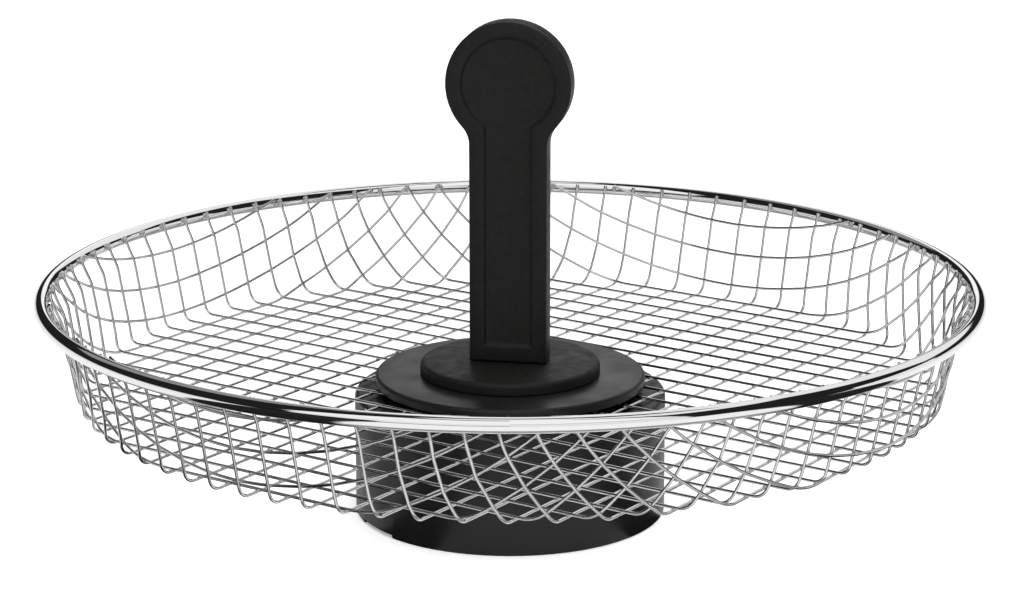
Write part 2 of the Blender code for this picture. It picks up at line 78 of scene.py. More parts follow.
def speckle(tree, scale, detail=2.0):
    """The value of a cloudy noise that is fixed to the piece."""
    place = tree.nodes.new("ShaderNodeTexCoord")
    noise = tree.nodes.new("ShaderNodeTexNoise")
    noise.inputs["Scale"].default_value = scale
    noise.inputs["Detail"].default_value = detail
    tree.links.new(place.outputs["Object"], noise.inputs["Vector"])
    return noise.outputs["Fac"]


def spread(tree, noise, low, high):
    """Maps a noise value, most of which lies from 0.3 to 0.7, to the range that a socket needs."""
    ramp = tree.nodes.new("ShaderNodeMapRange")
    ramp.inputs["From Min"].default_value = 0.3
    ramp.inputs["From Max"].default_value = 0.7
    ramp.inputs["To Min"].default_value = low
    ramp.inputs["To Max"].default_value = high
    tree.links.new(noise, ramp.inputs["Value"])
    return ramp.outputs["Result"]


def tint(tree, shader, value, dark, light):
    """Colours the shader between two tones by a value from 0 to 1."""
    mix = tree.nodes.new("ShaderNodeMix")
    mix.data_type = "RGBA"
    mix.inputs["A"].default_value = (*dark, 1.0)
    mix.inputs["B"].default_value = (*light, 1.0)
    tree.links.new(value, mix.inputs["Factor"])
    tree.links.new(mix.outputs["Result"], shader.inputs["Base Color"])


def grain(tree, shader, height, depth, strength):
    """Raises the look of the surface by a noise value, depth metres at most."""
    bump = tree.nodes.new("ShaderNodeBump")
    bump.inputs["Strength"].default_value = strength
    bump.inputs["Distance"].default_value = depth
    tree.links.new(height, bump.inputs["Height"])
    tree.links.new(bump.outputs["Normal"], shader.inputs["Normal"])


def new_piece(name, bm, finish, sharp=35.0):
    """Turns a bmesh into a piece at the origin, smooth except over sharp corners."""
    mesh = bpy.data.meshes.new(name)
    bm.to_mesh(mesh)
    bm.free()
    mesh.shade_smooth()
    mesh.set_sharp_from_angle(angle=math.radians(sharp))
    mesh.materials.append(finish)
    piece = bpy.data.objects.new(name, mesh)
    bpy.context.scene.collection.objects.link(piece)
    return piece


chrome, tree, shader = new_finish("bright_chrome", (0.86, 0.86, 0.87), 0.05, 1.0)
tree.links.new(spread(tree, speckle(tree, 45.0, 3.0), 0.025, 0.075), shader.inputs["Roughness"])
tint(tree, shader, speckle(tree, 18.0), (0.82, 0.82, 0.83), (0.90, 0.90, 0.91))
grain(tree, shader, speckle(tree, 260.0, 1.0), 0.00001, 0.25)

bm = bmesh.new()
bmesh.ops.create_circle(bm, segments=rim_sides, radius=rim_wire_radius)
bmesh.ops.rotate(bm, verts=bm.verts, cent=(0, 0, 0), matrix=Matrix.Rotation(math.pi / 2, 3, "X"))
bmesh.ops.translate(bm, verts=bm.verts, vec=(rim_radius, 0.0, rim_height))
bmesh.ops.spin(bm, geom=bm.verts[:] + bm.edges[:], cent=(0, 0, 0), axis=(0, 0, 1), angle=2 * math.pi,
               steps=rim_steps, use_merge=True)
bmesh.ops.rotate(bm, verts=bm.verts, cent=(0, 0, 0), matrix=Matrix.Rotation(rim_weld_bearing, 3, "Z"))
bmesh.ops.recalc_face_normals(bm, faces=bm.faces)
weld_middle = Vector((rim_radius * math.cos(rim_weld_bearing), rim_radius * math.sin(rim_weld_bearing),
                      rim_height))
for vert in bm.verts:
    core = Vector((vert.co.x, vert.co.y, 0.0)).normalized() * rim_radius
    core.z = rim_height
    swell = rim_weld_swell * math.exp(-((core - weld_middle).length / rim_weld_length) ** 2)
    vert.co += (vert.co - core).normalized() * swell
rim = new_piece("rim", bm, chrome)
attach(rim, "basket")
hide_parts("rim_ring")


# ------------------------------------------------------------------ wire dish
# Two families of straight 0.8 mm drawn steel wires, laid square across each other and spot-welded at
# every crossing, pressed over a round die into a shallow dish, trimmed round and welded into the rim.

wire_radius = 0.0004
wire_pitch = 0.00895
wire_wander = 0.00018           # how far the loom lets a wire stray from its pitch
wire_sink = 0.00035             # how far each family lies from the middle of the sheet
net_turn = math.radians(-24.6)
outer_phase = 0.08              # where each family's wires lie, in pitches from the centre
inner_phase = 0.96
wall_top_radius, wall_top_height = 0.11965, rim_height + 0.0015
corner_radius, floor_bend = 0.11355, 0.0032
floor_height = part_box("hub_plate")[1].z - 0.00365
hub_hole_radius = 0.028
flare_start = rim_height - 0.0065   # the wall turns out to the rim from this height
flare_outer, flare_inner = 0.00105, 0.00140
shortest_run = 0.02             # shorter offcuts at the rim are left out
net_step = wire_pitch / 4
net_size = 66                   # steps from the centre of the flat net to its edge

wall_lean = math.atan2(wall_top_radius - corner_radius, wall_top_height - floor_height)
floor_flat = corner_radius - floor_bend * math.tan((math.pi / 2 - wall_lean) / 2)
bend_sweep = math.pi / 2 - wall_lean
bend_top = floor_height + floor_bend * (1 - math.cos(bend_sweep))
sheet_edge = floor_flat + floor_bend * bend_sweep + (wall_top_height - bend_top) / math.cos(wall_lean)


def sheet_place(distance, bearing, offset=0.0, flare=0.0):
    """A point of the pressed sheet, a distance from the centre along it, moved out by offset."""
    angle = min(max((distance - floor_flat) / floor_bend, 0.0), bend_sweep)
    climb = max(distance - floor_flat - floor_bend * bend_sweep, 0.0)
    radius = min(distance, floor_flat) + floor_bend * math.sin(angle) + climb * math.sin(wall_lean)
    height = floor_height + floor_bend * (1 - math.cos(angle)) + climb * math.cos(wall_lean)
    radius += offset * math.sin(angle)
    height -= offset * math.cos(angle)
    share = min(max((height - flare_start) / (rim_height - flare_start), 0.0), 1.0)
    radius += flare * share * share * (3 - 2 * share)
    return Vector((radius * math.cos(bearing), radius * math.sin(bearing), height))


def press_net():
    """Where each knot of the flat net lies on the dish: (distance, bearing), for one quarter.

    The wires keep their length and the cells only shear, so a knot lies one step from the two before it.
    Its place is found by a few rounds of Newton's method.
    """
    nudge = 1e-6
    net = [[None] * (net_size + 1) for _ in range(net_size + 1)]
    for i in range(net_size + 1):
        net[i][0] = (i * net_step, 0.0)
        net[0][i] = (i * net_step, math.pi / 2)
    for i in range(1, net_size + 1):
        for j in range(1, net_size + 1):
            before, beside, corner = net[i - 1][j], net[i][j - 1], net[i - 1][j - 1]
            if before is None or beside is None:
                continue
            first, second = sheet_place(*before), sheet_place(*beside)
            distance = before[0] + beside[0] - corner[0]
            bearing = before[1] + beside[1] - corner[1]
            if i == 1 or j == 1:
                distance, bearing = math.hypot(i, j) * net_step, math.atan2(j, i)
            for _ in range(8):
                here = sheet_place(distance, bearing)
                miss = ((here - first).length - net_step, (here - second).length - net_step)
                out = sheet_place(distance + nudge, bearing)
                turn = sheet_place(distance, bearing + nudge * 10)
                a = ((out - first).length - net_step - miss[0]) / nudge
                b = ((turn - first).length - net_step - miss[0]) / (nudge * 10)
                c = ((out - second).length - net_step - miss[1]) / nudge
                d = ((turn - second).length - net_step - miss[1]) / (nudge * 10)
                slope = a * d - b * c
                if abs(slope) < 1e-12:
                    break
                distance -= (miss[0] * d - miss[1] * b) / slope
                bearing -= (a * miss[1] - c * miss[0]) / slope
            if distance < sheet_edge + 4 * net_step:
                net[i][j] = (distance, bearing)
    return net


net = press_net()


def knot(across, along):
    """(distance, bearing) on the dish of a point of the flat net, or None off the sheet."""
    i, j = abs(across) / net_step, abs(along) / net_step
    i0, j0 = int(i), int(j)
    if i0 >= net_size or j0 >= net_size:
        return None
    corners = (net[i0][j0], net[i0 + 1][j0], net[i0][j0 + 1], net[i0 + 1][j0 + 1])
    if None in corners:
        return None
    if i0 == 0 and j0 == 0:
        return math.hypot(across, along), math.atan2(along, across) + net_turn
    s, t = i - i0, j - j0
    weights = ((1 - s) * (1 - t), s * (1 - t), (1 - s) * t, s * t)
    distance = sum(weight * corner[0] for weight, corner in zip(weights, corners))
    bearing = sum(weight * corner[1] for weight, corner in zip(weights, corners))
    if across < 0:
        bearing = math.pi - bearing
    if along < 0:
        bearing = -bearing
    return distance, bearing + net_turn


def eased(points, slack):
    """Leaves out points that lie within slack of a straight run."""
    run = points[-1] - points[0]
    gaps = [(point - points[0]).cross(run).length / max(run.length, 1e-9) for point in points]
    far = max(range(len(points)), key=gaps.__getitem__)
    if len(points) < 3 or gaps[far] <= slack:
        return [points[0], points[-1]]
    return eased(points[:far + 1], slack)[:-1] + eased(points[far:], slack)


def wire_runs(shift, outer, welds):
    """One wire's runs over the dish, cut at the rim and at the hub's hole.

    It runs straight from weld to weld, with a slight kink at each, and bends only over the die's
    corner and where it turns out to the rim.
    """
    samples = 700
    span = net_size * net_step
    offset, flare = (wire_sink, flare_outer) if outer else (-wire_sink, flare_inner)
    stations = sorted(welds + [-span + 2 * span * n / samples for n in range(samples + 1)])
    runs, run = [], []
    for along in stations:
        place = knot(shift, along) if outer else knot(along, shift)
        if place and hub_hole_radius < place[0] <= sheet_edge:
            point = sheet_place(*place, offset, flare)
            at_corner = abs(place[0] - floor_flat - floor_bend * bend_sweep / 2) < floor_bend + 0.001
            run.append((point, at_corner or point.z > flare_start or along in welds))
        elif run:
            runs.append(run)
            run = []
    if run:
        runs.append(run)
    kept = []
    for run in runs:
        points = [point for n, (point, bend) in enumerate(run) if bend or n in (0, len(run) - 1)]
        if len(points) > 1 and (points[0] - points[-1]).length > shortest_run:
            kept.append(eased(points, 0.00001))
    return kept


drawn_wire, tree, shader = new_finish("bright_drawn_wire", (0.66, 0.66, 0.65), 0.14, 1.0)
tree.links.new(spread(tree, speckle(tree, 220.0, 3.0), 0.06, 0.16), shader.inputs["Roughness"])
tint(tree, shader, speckle(tree, 90.0, 4.0), (0.60, 0.60, 0.59), (0.80, 0.80, 0.79))
grain(tree, shader, speckle(tree, 2400.0, 2.0), 0.00001, 0.3)

most = int(sheet_edge / wire_pitch) + 1
loom = random.Random(11)
outer_lines, inner_lines = [[(n + phase) * wire_pitch + loom.uniform(-1, 1) * wire_wander
                             for n in range(-most, most + 1)] for phase in (outer_phase, inner_phase)]
wire_ends = []
for family, outer, lines, welds in (("outer", True, outer_lines, inner_lines),
                                    ("inner", False, inner_lines, outer_lines)):
    curve = bpy.data.curves.new(f"{family}_wires", "CURVE")
    curve.dimensions = "3D"
    curve.bevel_depth = wire_radius
    curve.bevel_resolution = 2
    curve.use_fill_caps = True
    curve.materials.append(drawn_wire)
    for shift in lines:
        for points in wire_runs(shift, outer, welds):
            spline = curve.splines.new("POLY")
            spline.points.add(len(points) - 1)
            for point, place in zip(spline.points, points):
                point.co = (*place, 1.0)
            wire_ends += [points[0], points[-1]]
    wires = bpy.data.objects.new(f"{family}_wires", curve)
    bpy.context.scene.collection.objects.link(wires)
    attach(wires, "basket")
    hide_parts(*[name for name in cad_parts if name.startswith(f"{family}_mesh_wires")])


# ------------------------------------------------------------------ spot welds
# Where two wires cross they are squeezed together hot, which leaves a small flat nugget between them.
# Where a wire ends on the rim a larger drop of weld joins the two.

nugget_radius = 0.00052
nugget_flat = 0.75              # a nugget's thickness against its width
drop_radius = 0.00062
drop_stretch = 1.5              # a drop's height against its width
ring_inside = rim_radius - rim_wire_radius + 0.0001

weld_metal, tree, shader = new_finish("weld_metal", (0.58, 0.58, 0.57), 0.30, 1.0)
tree.links.new(spread(tree, speckle(tree, 900.0, 2.0), 0.20, 0.42), shader.inputs["Roughness"])
tint(tree, shader, speckle(tree, 500.0, 2.0), (0.46, 0.45, 0.44), (0.74, 0.74, 0.73))
grain(tree, shader, speckle(tree, 3000.0, 2.0), 0.00002, 0.5)


def bead(segments, rings, radius):
    """A small round drop, as a mesh that is stamped wherever it is needed."""
    bm = bmesh.new()
    bmesh.ops.create_uvsphere(bm, u_segments=segments, v_segments=rings, radius=radius)
    mesh = bpy.data.meshes.new("bead")
    bm.to_mesh(mesh)
    bm.free()
    return mesh


def stamp(bm, mesh, shape):
    """Adds a copy of the mesh to the bmesh in this shape and place."""
    copy = mesh.copy()
    copy.transform(shape)
    bm.from_mesh(copy)
    bpy.data.meshes.remove(copy)


bm = bmesh.new()
nugget = bead(8, 5, nugget_radius)
for across in outer_lines:
    for along in inner_lines:
        place = knot(across, along)
        if not place or not hub_hole_radius < place[0] < sheet_edge - 0.001:
            continue
        middle = sheet_place(*place, 0.0, (flare_outer + flare_inner) / 2)
        outwards = sheet_place(*place, 0.001) - sheet_place(*place, 0.0)
        turn = outwards.to_track_quat("Z", "Y").to_matrix().to_4x4()
        shape = Matrix.Translation(middle) @ turn @ Matrix.Diagonal((1.0, 1.0, nugget_flat, 1.0))
        stamp(bm, nugget, shape)
crossing_welds = new_piece("crossing_welds", bm, weld_metal, 180.0)
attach(crossing_welds, "basket")

bm = bmesh.new()
drop = bead(8, 6, drop_radius)
for end in wire_ends:
    if end.z < flare_start:
        continue
    bearing = math.atan2(end.y, end.x)
    radius = (end.xy.length + ring_inside) / 2
    middle = Vector((radius * math.cos(bearing), radius * math.sin(bearing), rim_height + 0.0003))
    reach = max(ring_inside - end.xy.length, 0.0) / 2 + 0.0004
    shape = (Matrix.Translation(middle) @ Matrix.Rotation(bearing, 4, "Z")
             @ Matrix.Diagonal((reach / drop_radius, 1.0, drop_stretch, 1.0)))
    stamp(bm, drop, shape)
rim_welds = new_piece("rim_welds", bm, weld_metal, 180.0)
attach(rim_welds, "basket")


# ------------------------------------------------------------------ base drum
# Injection-moulded black plastic skirt with a top plate, a collar and ribs inside, and two shallow
# notches in the lower edge.  Screws come up through its top plate and clamp the wire floor.

drum_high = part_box("base_drum")[1]
drum_radius = drum_high.x
drum_top = drum_high.z
drum_wall, drum_plate = 0.0022, 0.0025
drum_ceiling = drum_top - drum_plate
collar_inside, collar_outside, collar_low = 0.0198, 0.0212, drum_ceiling - 0.0061
weld_overlap = 0.0004           # how far joined solids reach into each other
over = 0.001                    # how far a cutting solid stands out past the cut
play = 0.0003                   # the gap between parts that move or fit in each other
spigot_hole = 0.0154
rib_thickness, rib_low = 0.0016, 0.020
notch_width, notch_depth, notch_bearing = 0.015, 0.001, math.radians(-48.5)
slot_half_length, slot_width, slot_bearing = 0.0194, 0.012, math.radians(60.0)
stop_near, stop_far, stop_thickness = 0.0146, 0.0200, 0.0012
lug_low, lug_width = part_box("handle_foot")[0].z, 0.011
hub_screw_circle = 0.0244
screw_hole, pilot_hole = 0.0017, 0.0016


def turned(corners, steps, closed=True):
    """A solid turned about Z from (radius, height) corners."""
    bm = bmesh.new()
    verts = [bm.verts.new((radius, 0.0, height)) for radius, height in corners]
    for first, second in zip(verts, verts[1:] + verts[:1] * closed):
        bm.edges.new((first, second))
    bmesh.ops.spin(bm, geom=bm.verts[:] + bm.edges[:], cent=(0, 0, 0), axis=(0, 0, 1),
                   angle=2 * math.pi, steps=steps, use_merge=True)
    bmesh.ops.remove_doubles(bm, verts=bm.verts, dist=1e-6)
    bmesh.ops.recalc_face_normals(bm, faces=bm.faces)
    return bm


def round_rings(bm, rings, width, segments=4):
    """Rounds the circular edges that lie at these (radius, height) places."""
    def on_ring(vert):
        return any(abs(vert.co.xy.length - radius) < 1e-5 and abs(vert.co.z - height) < 1e-5
                   for radius, height in rings)
    edges = [edge for edge in bm.edges if all(on_ring(vert) for vert in edge.verts)]
    bmesh.ops.bevel(bm, geom=edges, offset=width, segments=segments, profile=0.5, affect="EDGES",
                    material=-1)


def block(low, high, turn=0.0):
    """A box between two corners, turned about Z."""
    low, high = Vector(low), Vector(high)
    bm = bmesh.new()
    bmesh.ops.create_cube(bm, size=1.0, matrix=Matrix.Rotation(turn, 4, "Z")
                          @ Matrix.Translation((low + high) / 2) @ Matrix.Diagonal((*(high - low), 1.0)))
    return bm


def rod(radius, start, end, sides=32):
    """A round rod between two points."""
    start, end = Vector(start), Vector(end)
    bm = bmesh.new()
    turn = (end - start).to_track_quat("Z", "Y").to_matrix().to_4x4()
    bmesh.ops.create_cone(bm, cap_ends=True, segments=sides, radius1=radius, radius2=radius,
                          depth=(end - start).length, matrix=Matrix.Translation((start + end) / 2) @ turn)
    return bm


def worked(piece, joins, cuts):
    """Joins solids to a piece, then cuts others out of it, and keeps the result as its mesh."""
    tools = []
    for operation, solids in (("UNION", joins), ("DIFFERENCE", cuts)):
        for solid in solids:
            mesh = bpy.data.meshes.new("tool")
            solid.to_mesh(mesh)
            solid.free()
            tool = bpy.data.objects.new("tool", mesh)
            bpy.context.scene.collection.objects.link(tool)
            tools.append(tool)
            step = piece.modifiers.new(operation, "BOOLEAN")
            step.operation, step.solver, step.object = operation, "EXACT", tool
    shaped = piece.evaluated_get(bpy.context.evaluated_depsgraph_get())
    mesh = bpy.data.meshes.new_from_object(shaped)
    piece.modifiers.clear()
    piece.data = mesh
    mesh.name = piece.name
    mesh.shade_smooth()
    mesh.set_sharp_from_angle(angle=math.radians(35.0))
    for tool in tools:
        bpy.data.objects.remove(tool, do_unlink=True)


def soften(piece):
    """Breaks the sharp edges that are left, as a mould does."""
    edge = piece.modifiers.new("edge_break", "BEVEL")
    edge.width, edge.segments = 0.0002, 2
    edge.limit_method, edge.angle_limit = "ANGLE", math.radians(40.0)
    edge.harden_normals = True


drum_plastic, tree, shader = new_finish("satin_black_plastic", (0.008, 0.008, 0.008), 0.34)
shader.inputs["Specular IOR Level"].default_value = 0.30
tree.links.new(spread(tree, speckle(tree, 120.0, 4.0), 0.30, 0.44), shader.inputs["Roughness"])
tint(tree, shader, speckle(tree, 60.0, 3.0), (0.006, 0.006, 0.006), (0.011, 0.011, 0.011))
grain(tree, shader, speckle(tree, 2600.0, 3.0), 0.00002, 0.5)

inside = drum_radius - drum_wall
bm = turned([(spigot_hole, drum_top), (drum_radius, drum_top), (drum_radius, 0.0), (inside, 0.0),
             (inside, drum_ceiling), (collar_outside, drum_ceiling), (collar_outside, collar_low),
             (collar_inside, collar_low), (collar_inside, drum_ceiling), (spigot_hole, drum_ceiling)], 128)
round_rings(bm, [(drum_radius, drum_top)], 0.0012)
round_rings(bm, [(drum_radius, 0.0), (inside, 0.0)], 0.0005, 3)
round_rings(bm, [(inside, drum_ceiling)], 0.0010, 3)
drum = new_piece("drum", bm, drum_plastic)
ribs = [block((collar_outside - weld_overlap, -rib_thickness / 2, rib_low),
              (inside + weld_overlap, rib_thickness / 2, drum_ceiling + weld_overlap),
              math.radians(60.0 * n)) for n in range(6)]
stops = []
for twist, side in ((0.0, -1), (slot_bearing, 1)):
    for half in (0.0, math.pi):
        lug_side = lug_width / 2 + play
        near, far = sorted((side * lug_side, side * (lug_side + stop_thickness)))
        stops.append(block((stop_near, near, lug_low), (stop_far, far, drum_ceiling + weld_overlap),
                           twist + half))
screw_places = [Vector((math.cos(b), math.sin(b), 0.0)) * hub_screw_circle
                for b in (math.radians(45.0 + 90.0 * n) for n in range(4))]
cuts = [block((-slot_half_length, -slot_width / 2, drum_ceiling - over),
              (slot_half_length, slot_width / 2, drum_top + over), slot_bearing),
        block((-drum_radius - over, -notch_width / 2, -over),
              (drum_radius + over, notch_width / 2, notch_depth), notch_bearing - math.pi / 2)]
cuts += [rod(screw_hole, place + Vector((0, 0, drum_ceiling - over)),
             place + Vector((0, 0, drum_top + over))) for place in screw_places]
worked(drum, ribs + stops, cuts)
soften(drum)
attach(drum, "basket")
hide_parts("base_drum")


# ------------------------------------------------------------------ hub plate
# Round plate of the same plastic over the wire floor.  Its boss fills the hole in the mesh and stands
# on the drum, so the two grip the wires; a double slot lets the handle's lugs through.

hub_low, hub_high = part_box("hub_plate")
hub_radius, hub_top = hub_high.x, hub_high.z
hub_underside = hub_top - 0.0024
hub_boss = hub_hole_radius - 0.0006
hub_skin = 0.0008               # plastic left over the screws' blind holes

bm = turned([(spigot_hole, hub_top), (hub_radius, hub_top), (hub_radius, hub_underside),
             (hub_boss, hub_underside), (hub_boss, hub_low.z), (spigot_hole, hub_low.z)], 128)
round_rings(bm, [(hub_radius, hub_top)], 0.0009)
hub = new_piece("hub", bm, drum_plastic)
cuts = [block((-slot_half_length, -slot_width / 2, hub_low.z - over),
              (slot_half_length, slot_width / 2, hub_top + over), slot_bearing)]
cuts += [rod(pilot_hole, place + Vector((0, 0, hub_low.z - over)),
             place + Vector((0, 0, hub_top - hub_skin))) for place in screw_places]
worked(hub, (), cuts)
soften(hub)
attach(hub, "basket")
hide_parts("hub_plate")


# ------------------------------------------------------------------ hub screws and handle screws
# Seven pan-head steel screws with a cross recess: four go up through the drum into the hub plate, three
# through the handle's rear shell into bosses on the front shell.

screw_radius = 0.0013
screw_head_radius = 0.00273
screw_taper = 0.0008
recess_arm, recess_slim, recess_share = 0.0014, 0.0003, 0.55

screw_steel, tree, shader = new_finish("plain_screw_steel", (0.60, 0.60, 0.58), 0.3, 1.0)
tree.links.new(spread(tree, speckle(tree, 1500.0, 3.0), 0.22, 0.40), shader.inputs["Roughness"])
tint(tree, shader, speckle(tree, 700.0, 2.0), (0.50, 0.50, 0.49), (0.68, 0.68, 0.66))
grain(tree, shader, speckle(tree, 5000.0, 2.0), 0.00001, 0.4)


def screw_piece(name, node, head_end, tip_end, head_height, body):
    """One screw in the place of its CAD node."""
    head_end, tip_end = Vector(head_end), Vector(tip_end)
    length = (tip_end - head_end).length
    bm = turned([(0.0, length), (screw_radius * 0.6, length), (screw_radius, length - screw_taper),
                 (screw_radius, head_height), (screw_head_radius, head_height),
                 (screw_head_radius, 0.0), (0.0, 0.0)], 40, closed=False)
    round_rings(bm, [(screw_head_radius, 0.0)], head_height * 0.6)
    piece = new_piece(name, bm, screw_steel)
    recess = head_height * recess_share
    worked(piece, (), [block((-along, -aside, -over), (along, aside, recess))
                       for along, aside in ((recess_arm, recess_slim), (recess_slim, recess_arm))])
    place = (Matrix.Translation(head_end)
             @ (tip_end - head_end).to_track_quat("Z", "Y").to_matrix().to_4x4())
    piece.data.transform(place)
    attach(piece, body)
    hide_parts(node)


for n, place in enumerate(screw_places, 1):
    low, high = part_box(f"hub_screw_{n}")
    screw_piece(f"drum_screw_{n}", f"hub_screw_{n}", place + Vector((0, 0, low.z)),
                place + Vector((0, 0, high.z)), 0.0018, "basket")
for n in (1, 2, 3):
    low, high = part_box(f"handle_screw_{n}")
    height = (low.z + high.z) / 2
    screw_piece(f"shell_screw_{n}", f"handle_screw_{n}", (0, high.y, height), (0, low.y, height),
                0.0011, "handle")


# ------------------------------------------------------------------ handle foot
# One moulding: a flange that stands on the hub plate, a hollow bayonet spigot with two lugs below it,
# and a tongue that goes up inside the handle's stem and is screwed there.

flange_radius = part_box("handle_foot")[1].y
shell_low, shell_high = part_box("handle_front_shell")
stem_bottom = shell_low.z
flange_bottom, flange_top = hub_top + play, stem_bottom - play
spigot_outside, spigot_inside = 0.0150, 0.0128
stem_half_width, shell_wall = 0.01035, 0.0018
parting_y, back_y, front_y = -0.0014, 0.004, -0.004
head_radius, neck_fillet = 0.01665, 0.007
head_height = shell_high.z - head_radius
lug_reach = 0.0184              # from the axis to a lug's tip
tongue_gap = 0.0005
handle_screw_heights = (stem_bottom + 0.010, stem_bottom + 0.038, head_height)

handle_plastic, tree, shader = new_finish("matt_charcoal_plastic", (0.008, 0.008, 0.0075), 0.5)
shader.inputs["Specular IOR Level"].default_value = 0.22
tree.links.new(spread(tree, speckle(tree, 300.0, 4.0), 0.44, 0.60), shader.inputs["Roughness"])
tint(tree, shader, speckle(tree, 700.0, 4.0), (0.005, 0.005, 0.0046), (0.012, 0.012, 0.0112))
grain(tree, shader, speckle(tree, 2200.0, 4.0), 0.00006, 0.8)

bm = turned([(0.0, flange_top), (flange_radius, flange_top), (flange_radius, flange_bottom),
             (spigot_outside, flange_bottom), (spigot_outside, lug_low), (spigot_inside, lug_low),
             (spigot_inside, flange_bottom), (0.0, flange_bottom)], 96, closed=False)
round_rings(bm, [(flange_radius, flange_top)], 0.0012)
round_rings(bm, [(spigot_outside, lug_low), (spigot_inside, lug_low)], 0.0003, 2)
foot = new_piece("foot", bm, handle_plastic)
lugs = [block((spigot_inside + 0.0006, -lug_width / 2, lug_low),
              (lug_reach, lug_width / 2, drum_ceiling - play), turn) for turn in (0.0, math.pi)]
tongue_half_width = stem_half_width - shell_wall - tongue_gap
tongue = block((-tongue_half_width, parting_y + tongue_gap, flange_top - 0.0006),
               (tongue_half_width, back_y - shell_wall - tongue_gap, stem_bottom + 0.018))
worked(foot, lugs + [tongue], [rod(0.003, (0, parting_y - over, handle_screw_heights[0]),
                                   (0, back_y, handle_screw_heights[0]))])
soften(foot)
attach(foot, "handle")
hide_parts("handle_foot")


# ------------------------------------------------------------------ handle shells
# The handle is two moulded shells of a keyhole shape, fine-textured charcoal plastic, closed on each
# other with a thin joint line round the side.  The front one has a sunk keyhole panel.

lip_radius, lip_half_width, lip_fillet = 0.01280, 0.00645, 0.0010
panel_radius, panel_half_width, panel_fillet = 0.01210, 0.00580, 0.0014
panel_depth = 0.0010
lip_y = front_y + 0.00005         # the front face falls a hair towards the lip
panel_bottom = stem_bottom + 0.005
front_round, back_round = 0.0006, 0.0014
boss_radius, boss_end, pilot_end = 0.0026, 0.0017, 0.0030
head_sink_radius, head_sink = 0.0032, 0.0009


def keyhole_loop(bm, radius, half_width, bottom, fillet, y):
    """A closed keyhole outline in the plane at y: a vertex spun round the neck and then the head."""
    drop = math.sqrt((radius + fillet) ** 2 - (half_width + fillet) ** 2)
    neck = math.atan2(drop, half_width + fillet)
    before = set(bm.verts)
    foot_vert = bm.verts.new((half_width, y, bottom))
    corner = bm.verts.new((half_width, y, head_height - drop))
    bm.edges.new((foot_vert, corner))
    arc = bmesh.ops.spin(bm, geom=[corner], cent=(half_width + fillet, y, head_height - drop),
                         axis=(0, 1, 0), angle=neck, steps=8)
    last = [item for item in arc["geom_last"] if isinstance(item, bmesh.types.BMVert)]
    arc = bmesh.ops.spin(bm, geom=last, cent=(0, y, head_height), axis=(0, 1, 0),
                         angle=-(math.pi / 2 + neck), steps=40)
    for item in arc["geom_last"]:
        if isinstance(item, bmesh.types.BMVert):
            item.co.x = 0.0
    half = [vert for vert in bm.verts if vert not in before]
    geom = half + list({edge for vert in half for edge in vert.link_edges})
    bmesh.ops.mirror(bm, geom=geom, matrix=Matrix.Identity(4), merge_dist=1e-6, axis="X")
    ring = [vert for vert in bm.verts if vert not in before]
    ends = [vert for vert in ring if abs(vert.co.z - bottom) < 1e-7]
    bm.edges.new(ends)
    return list({edge for vert in ring for edge in vert.link_edges})


def keyhole_block(radius, half_width, bottom, fillet, near, far, finish_edges=()):
    """A keyhole-shaped solid from y = near to y = far, with the outlines at finish_edges rounded."""
    bm = bmesh.new()
    loops = [keyhole_loop(bm, radius, half_width, bottom, fillet, y) for y in (near, far)]
    bmesh.ops.bridge_loops(bm, edges=loops[0] + loops[1])
    for loop in loops:
        bmesh.ops.contextual_create(bm, geom=loop)
    bmesh.ops.recalc_face_normals(bm, faces=bm.faces)
    for y, width in finish_edges:
        round_outline(bm, y, width)
    return bm


def round_outline(bm, y, width, segments=4):
    """Rounds the outline edges in the plane at y."""
    edges = [edge for edge in bm.edges if all(abs(vert.co.y - y) < 1e-7 for vert in edge.verts)
             and len({round(face.normal.y, 2) for face in edge.link_faces}) > 1]
    bmesh.ops.bevel(bm, geom=edges, offset=width, segments=segments, profile=0.5, affect="EDGES",
                    material=-1)


bm = bmesh.new()
stages = [(head_radius, stem_half_width, stem_bottom, neck_fillet, parting_y),
          (head_radius, stem_half_width, stem_bottom, neck_fillet, front_y),
          (lip_radius, lip_half_width, panel_bottom - 0.0007, lip_fillet, lip_y),
          (panel_radius, panel_half_width, panel_bottom, panel_fillet, front_y + panel_depth)]
loops = [keyhole_loop(bm, *stage) for stage in stages]
for first, second in zip(loops, loops[1:]):
    bmesh.ops.bridge_loops(bm, edges=first + second)
bmesh.ops.contextual_create(bm, geom=loops[0])
bmesh.ops.contextual_create(bm, geom=loops[-1])
bmesh.ops.recalc_face_normals(bm, faces=bm.faces)
round_outline(bm, front_y + panel_depth, 0.0004)
round_outline(bm, lip_y, front_round, 5)
round_outline(bm, front_y, front_round, 5)
front_shell = new_piece("front_shell", bm, handle_plastic)
bosses = [rod(boss_radius, (0, parting_y - weld_overlap, z), (0, boss_end, z))
          for z in handle_screw_heights]
pilots = [rod(pilot_hole, (0, parting_y - 0.0006, z), (0, pilot_end, z)) for z in handle_screw_heights]
worked(front_shell, bosses, pilots)
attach(front_shell, "handle")
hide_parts("handle_front_shell")

bm = keyhole_block(head_radius, stem_half_width, stem_bottom, neck_fillet, parting_y + play, back_y,
                   [(back_y, back_round)])
rear_shell = new_piece("rear_shell", bm, handle_plastic)
cuts = [keyhole_block(head_radius - shell_wall, stem_half_width - shell_wall, stem_bottom - 0.002,
                      neck_fillet + shell_wall, parting_y - over, back_y - shell_wall)]
for z in handle_screw_heights:
    cuts += [rod(screw_hole, (0, 0.001, z), (0, back_y + over, z)),
             rod(head_sink_radius, (0, back_y - head_sink, z), (0, back_y + over, z))]
worked(rear_shell, (), cuts)
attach(rear_shell, "handle")
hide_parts("handle_rear_shell")


